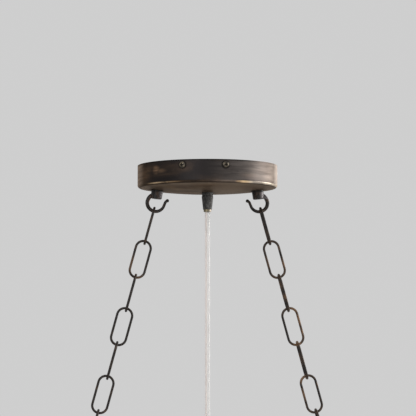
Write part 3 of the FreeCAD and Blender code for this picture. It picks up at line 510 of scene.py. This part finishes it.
def black_grip():
    """Moulded black plastic with a fine grain, drag lines from the mould and grey scuffs, denser on the right, with a
    painted grey sheen on its right side.
    """
    skin = Finish("black_grip")
    grain = skin.noise((1500, 1500, 1500), 2.0, 0.6)
    drag = skin.noise((620, 620, 70), 3.0, 0.6)
    scuff = skin.between(skin.noise((420, 420, 260), 4.0, 0.65), 0.46, 0.66)
    x, _, _ = skin.parts(skin.place)
    colour = skin.blend(skin.between(drag, 0.35, 0.7), (0.0160, 0.0148, 0.0135), (0.034, 0.0325, 0.0315))
    # Painted grey sheen on the right half, where the scuffs also grow denser
    rub_and_sheen = skin.spread(skin.between(x, -0.001, 0.003), 0.30, 1.0)
    colour = skin.blend(skin.maths("MULTIPLY", skin.between(x, -0.001, 0.004), 0.35), colour, (0.130, 0.124, 0.121))
    colour = skin.blend(skin.maths("MULTIPLY", scuff, rub_and_sheen), colour, (0.165, 0.160, 0.158))
    skin.set(Base_Color=colour, Roughness=skin.spread(drag, 0.38, 0.56), Specular_IOR_Level=0.38)
    height = skin.maths("ADD", skin.maths("MULTIPLY", grain, 0.35), skin.maths("MULTIPLY", drag, 0.65))
    skin.bump(height, 0.00016, 0.6)
    return skin.material


def mouth_brass():
    """Dull olive brass with brown tarnish and a painted pale sheen on its right side."""
    skin = Finish("mouth_brass")
    tarnish = skin.noise((600, 600, 380), 4.0, 0.6)
    x, _, _ = skin.parts(skin.place)
    colour = skin.blend(skin.between(tarnish, 0.44, 0.68), (0.275, 0.236, 0.150), (0.150, 0.124, 0.080))
    # Painted pale sheen on the right side
    colour = skin.blend(skin.maths("MULTIPLY", skin.between(x, 0.000, 0.003), 0.6), colour, (0.50, 0.45, 0.41))
    skin.set(Base_Color=colour, Roughness=skin.spread(tarnish, 0.32, 0.50), Metallic=0.9)
    skin.set(Specular_Tint=(0.7, 0.64, 0.56))
    skin.bump(tarnish, 0.00006, 0.5)
    return skin.material


def clear_sleeve():
    """Clear soft plastic, a little milky, with slow ripples along the cord."""
    skin = Finish("clear_sleeve")
    haze = skin.noise((300, 300, 90), 3.0, 0.5)
    colour = skin.blend(haze, (0.965, 0.945, 0.925), (0.99, 0.98, 0.97))
    skin.set(Base_Color=colour, Roughness=skin.spread(haze, 0.10, 0.22), Alpha=0.45, IOR=1.46)
    skin.bump(haze, 0.00010, 0.4)
    return skin.material


def bare_strand(name, bright, dull):
    """Bare stranded wire, bright with duller stretches."""
    skin = Finish(name)
    tarnish = skin.noise((500, 500, 120), 4.0, 0.6)
    colour = skin.blend(skin.between(tarnish, 0.42, 0.7), bright, dull)
    skin.set(Base_Color=colour, Roughness=skin.spread(tarnish, 0.22, 0.38), Metallic=1.0)
    return skin.material


def connector_plastic():
    """Moulded orange plastic with a fine grain and paler orange clouds."""
    skin = Finish("connector_plastic")
    grain = skin.noise((900, 900, 900), 3.0, 0.6)
    cloud = skin.noise((160, 160, 160), 3.0, 0.5)
    colour = skin.blend(skin.between(cloud, 0.35, 0.7), (0.50, 0.135, 0.022), (0.60, 0.185, 0.040))
    skin.set(Base_Color=colour, Roughness=skin.spread(grain, 0.36, 0.50))
    skin.bump(grain, 0.00008, 0.5)
    return skin.material


def earth_green():
    """Green lacquer over steel, thin in patches."""
    skin = Finish("earth_green")
    wear = skin.noise((480, 480, 480), 4.0, 0.6)
    colour = skin.blend(skin.between(wear, 0.58, 0.76), (0.020, 0.135, 0.050), (0.16, 0.24, 0.17))
    skin.set(Base_Color=colour, Roughness=skin.spread(wear, 0.24, 0.42), Metallic=0.5)
    skin.bump(wear, 0.00005, 0.5)
    return skin.material


def pale_floor():
    """Plain matt floor, very slightly mottled, which the eye sees as pale as the surround."""
    skin = Finish("pale_floor")
    mottle = skin.noise((3, 3, 3), 3.0, 0.5)
    colour = skin.blend(mottle, (0.70, 0.70, 0.695), (0.74, 0.74, 0.735))
    seen = skin.maths("MULTIPLY", skin.add("ShaderNodeLightPath").outputs["Is Camera Ray"], 0.38)
    skin.set(Base_Color=colour, Roughness=0.8, Emission_Color=colour, Emission_Strength=seen)
    return skin.material


# Surfaces

def add_mesh(name, points, faces, material):
    """A smooth mesh with its faces turned outward, as a piece at the origin."""
    mesh = bpy.data.meshes.new(name)
    mesh.from_pydata(points.reshape(-1, 3), [], faces)
    shell = bmesh.new()
    shell.from_mesh(mesh)
    bmesh.ops.recalc_face_normals(shell, faces=shell.faces)
    shell.to_mesh(mesh)
    shell.free()
    mesh.shade_smooth()
    mesh.materials.append(material)
    piece = bpy.data.objects.new(name, mesh)
    bpy.context.scene.collection.objects.link(piece)
    return piece


def surface(name, points, material, closed_rows=False):
    """A mesh on a grid of points, row by row: each cell of four neighbours is a face and the columns close into
    a ring. The rows close too when asked; otherwise a flat face shuts each end."""
    rows, columns, _ = points.shape
    index = np.arange(rows * columns).reshape(rows, columns)
    after = np.roll(index, -1, axis=1)
    lower, upper = (index, np.roll(index, -1, axis=0)) if closed_rows else (index[:-1], index[1:])
    lower_next, upper_next = (after, np.roll(after, -1, axis=0)) if closed_rows else (after[:-1], after[1:])
    faces = np.stack([lower, lower_next, upper_next, upper], axis=-1).reshape(-1, 4).tolist()
    if not closed_rows:
        faces += [index[0].tolist(), index[-1].tolist()]
    return add_mesh(name, points, faces, material)


def joined_surfaces(name, grids, material):
    """Several closed tubes, each a grid of the same size, as one mesh."""
    grids = np.asarray(grids)
    count, rows, columns, _ = grids.shape
    index = np.arange(count * rows * columns).reshape(count, rows, columns)
    after = np.roll(index, -1, axis=2)
    cells = np.stack([index[:, :-1], after[:, :-1], after[:, 1:], index[:, 1:]], axis=-1).reshape(-1, 4).tolist()
    caps = np.concatenate([index[:, 0], index[:, -1]]).tolist()
    return add_mesh(name, grids, cells + caps, material)


def route_points(name, points, steps):
    """Points read from a smooth spline that has the route's points as its control points."""
    curve = bpy.data.curves.new(name, "CURVE")
    curve.dimensions = "3D"
    curve.resolution_u = steps
    spline = curve.splines.new("NURBS")
    spline.points.add(len(points) - 1)
    for knot, point in zip(spline.points, points):
        knot.co = (*point, 1.0)
    spline.order_u = 3
    spline.use_endpoint_u = True
    holder = bpy.data.objects.new(name, curve)
    mesh = bpy.data.meshes.new_from_object(holder)
    line = np.empty(len(mesh.vertices) * 3)
    mesh.vertices.foreach_get("co", line)
    bpy.data.objects.remove(holder)
    bpy.data.curves.remove(curve)
    bpy.data.meshes.remove(mesh)
    return line.reshape(-1, 3)


def carried(line, section):
    """A flat section carried along a line that stays in a plane of constant Y: its first coordinate goes across
    the line within that plane and its second along Y. section is (columns, 2) or (rows, columns, 2)."""
    heading = np.gradient(line, axis=0)
    heading /= np.linalg.norm(heading, axis=1, keepdims=True)
    aside = np.array([0.0, 1.0, 0.0])
    across = np.cross(aside, heading)
    section = np.broadcast_to(section, (len(line), *section.shape[-2:]))
    return line[:, None] + section[..., :1] * across[:, None] + section[..., 1:] * aside


def twin_section(count):
    """Two circles of a quarter of the cord's width, side by side, joined by a web: each side's circle is drawn
    from one edge of the web round to the other."""
    lobe = CORD_WIDTH / 4
    open_angle = math.asin(CORD_WEB / 2 / lobe)
    turn = np.linspace(open_angle - math.pi, math.pi - open_angle, count)
    right = np.stack([lobe + lobe * np.cos(turn), lobe * np.sin(turn)], axis=-1)
    return np.concatenate([right, -right])


def ring_section(radius, count):
    """A circle, as points evenly round it."""
    turn = np.linspace(0, 2 * math.pi, count, endpoint=False)
    return radius * np.stack([np.cos(turn), np.sin(turn)], axis=-1)


def strand_bundle(line, offset):
    """A twisted bundle beside a line: each strand's centre goes round a circle once in every lay along the line,
    and the strands start evenly round it; one more runs straight inside them."""
    along = np.concatenate([[0.0], np.cumsum(np.linalg.norm(np.diff(line, axis=0), axis=1))])
    spread = STRAND_RADIUS / math.sin(math.pi / STRANDS) * 0.98
    start = np.arange(STRANDS)[:, None] * 2 * math.pi / STRANDS
    angle = start + along[None] * 2 * math.pi / STRAND_LAY
    centres = np.stack([offset + spread * np.cos(angle), spread * np.sin(angle)], axis=-1)
    tubes = [carried(line, centre[:, None] + ring_section(STRAND_RADIUS, 6)[None]) for centre in centres]
    core = np.array([offset, 0.0]) + ring_section(spread, 6)
    tubes.append(carried(line, core))
    return tubes


def threaded_tube(name, node, material):
    """A tube turned about the upright axis: a closed section goes out along the lower end, up the outside, in along
    the upper end and down the bore. Outside, the radius falls by a wave of the height over the pitch less the share
    of the turn, which makes one ridge climb by a pitch each turn."""
    low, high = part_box(node)
    bottom, top = low.z, high.z
    rows = int((top - bottom) / THREAD_PITCH * THREAD_ROWS_PER_PITCH)
    turn = np.linspace(0, 2 * math.pi, THREAD_COLUMNS, endpoint=False)
    height = np.linspace(bottom, top, rows)
    wave = 0.5 - 0.5 * np.cos(2 * math.pi * (height[:, None] / THREAD_PITCH - turn[None] / (2 * math.pi)))
    ends = np.clip(np.minimum(height - bottom, top - height) / THREAD_CHAMFER, 0, 1)[:, None]
    outside = THREAD_RADIUS - THREAD_DEPTH * wave * ends - (1 - ends) * THREAD_CHAMFER
    radius = np.concatenate([outside, np.full((2, THREAD_COLUMNS), THREAD_BORE)])
    level = np.concatenate([height, [top, bottom]])
    points = np.stack([radius * np.cos(turn), radius * np.sin(turn),
                       np.broadcast_to(level[:, None], radius.shape)], axis=-1)
    return surface(name, points, material, closed_rows=True)


def seam_lacquer(side, word, number, material):
    """Lacquer that bridges the seam of one link: a circle a little smaller than the wire, carried a short way along
    the chain's line. The seam is half way down the link, on its outer side where it lies flat to the front and on its
    back where it stands edge-on."""
    middle = CHAIN_HANG + LINK_LENGTH / 2 - LINK_WIRE / 2 + (number - 1) * CHAIN_PITCH
    outward, back = (0.0, LINK_BEND) if number % 2 else (LINK_BEND, 0.0)
    line = np.array([on_chain(side, middle + share * SEAM_PLUG, outward, back) for share in (-0.5, 0.5)])
    piece = surface(f"{word}_seam_lacquer_{number}", carried(line, ring_section(LINK_WIRE * 0.48, 24)), material)
    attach(piece, f"chain_link_{word}_{number}")


def mount(piece, slot, *nodes):
    """Rides a piece with the canopy, in the place of the solids that it stands for."""
    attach(piece, "root")
    if nodes:
        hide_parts(*nodes)
    return piece


def straight_cord(label, node, route, sleeve, copper, tinned):
    """One stretch of the clear twin cord with its two stranded conductors."""
    line = route_points(label, route, 150)
    skin = mount(surface(f"{label}_sleeve", carried(line[::10], twin_section(17)), sleeve), "clear_cord", node)
    wires = []
    for name, side, material in (("copper", LEFT, copper), ("tinned", RIGHT, tinned)):
        bundle = strand_bundle(line, -side * STRAND_X)
        wires.append(mount(joined_surfaces(f"{label}_{name}", bundle, material), "clear_cord"))
    return skin, wires, line


def lead(label, node, side, sleeve, metal):
    """One lead above the threaded tube: up, round a bend and out into its connector."""
    points = [(STRAND_X, TAIL_TOP_Z), (STRAND_X, LEAD_Z), (0.0084, LEAD_Z), (0.0144, LEAD_Z), (0.0254, LEAD_Z)]
    route = [(side * x, 0.0, z) for x, z in points]
    line = route_points(label, route, 24)
    skin = mount(surface(f"{label}_sleeve", carried(line[::2], ring_section(LEAD_DIAMETER / 2, 20)), sleeve),
                 "clear_cord", node)
    wire = mount(joined_surfaces(f"{label}_wire", strand_bundle(line, 0.0), metal), "clear_cord")


# The part, its finishes and the stage

set_camera()

sleeve = clear_sleeve()
copper = bare_strand("copper_strand", (0.93, 0.80, 0.73), (0.82, 0.67, 0.59))
tinned = bare_strand("tinned_strand", (0.95, 0.945, 0.925), (0.86, 0.85, 0.83))
zinc = zinc_plate()

approach = 6 * CORD_WIDTH
cord_route = [(0, 0, MOUTH_Z), (0, 0, MOUTH_Z - approach), (0, 0, LOWER_MOUTH_Z + approach), (0, 0, LOWER_MOUTH_Z)]
tail_route = [(0, 0, TAIL_TOP_Z), (0, 0, (TAIL_TOP_Z + MOUTH_Z) / 2), (0, 0, MOUTH_Z)]
end_low_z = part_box("cord_end")[0].z
end_route = [(0, 0, LOWER_MOUTH_Z), (0, 0, (LOWER_MOUTH_Z + end_low_z) / 2), (0, 0, end_low_z)]
cord, cord_wires, cord_line = straight_cord("cord", "cord", cord_route, sleeve, copper, tinned)
straight_cord("tail", "cord_tail", tail_route, sleeve, copper, tinned)
end_sleeve, end_wires, _ = straight_cord("end", "cord_end", end_route, sleeve, copper, tinned)
lead("copper_lead", "lead_copper", LEFT, sleeve, copper)
lead("tinned_lead", "lead_silver", RIGHT, sleeve, tinned)

mount(threaded_tube("upper_threaded_tube", "grip_nipple", zinc), "zinc_steel", "grip_nipple")
lower_tube = mount(threaded_tube("lower_threaded_tube", "lower_nipple", zinc), "zinc_steel", "lower_nipple")

FINISHES = {
    "bronze_sheet": rubbed_bronze(),
    "cast_bronze": cast_bronze(),
    "chain_bronze": chain_bronze(),
    "worn_screw": worn_screw(),
    "zinc_steel": zinc,
    "black_grip": black_grip(),
    "brass_ring": mouth_brass(),
    "clear_cord": sleeve,
    "connector_plastic": connector_plastic(),
    "earth_green": earth_green(),
}
for side, word in ((LEFT, "left"), (RIGHT, "right")):
    for number in range(1, LINK_COUNT + 1):
        seam_lacquer(side, word, number, FINISHES["chain_bronze"])
for part in frame["record"]["subparts"]:
    solid = NODES[part["node"]]
    solid.data.materials.clear()
    solid.data.materials.append(FINISHES[part["material_slot"]])

floor_corners = np.array([[-1, -1], [1, -1], [1, 1], [-1, 1]]) * FLOOR_REACH
floor_levels = (FLOOR_Z, FLOOR_Z - FLOOR_THICKNESS)
floor_points = np.stack([np.column_stack([floor_corners, np.full(4, z)]) for z in floor_levels])
surface("floor", floor_points, pale_floor())
light_world(0.42, 0.62)
add_lamp("key_right", (1.35, 0.25, 0.25), (0, 0, -0.08), 1.1, 17.0, (1.0, 0.98, 0.95))
add_lamp("fill_front", (-0.7, -1.5, 0.5), (0, 0, -0.08), 1.2, 10.0, (0.97, 0.985, 1.0))
add_lamp("low_front", (0.5, -1.2, -0.75), (0, 0, -0.05), 1.0, 5.0, (1.0, 0.99, 0.97))

bpy.context.scene.view_settings.view_transform = "Standard"
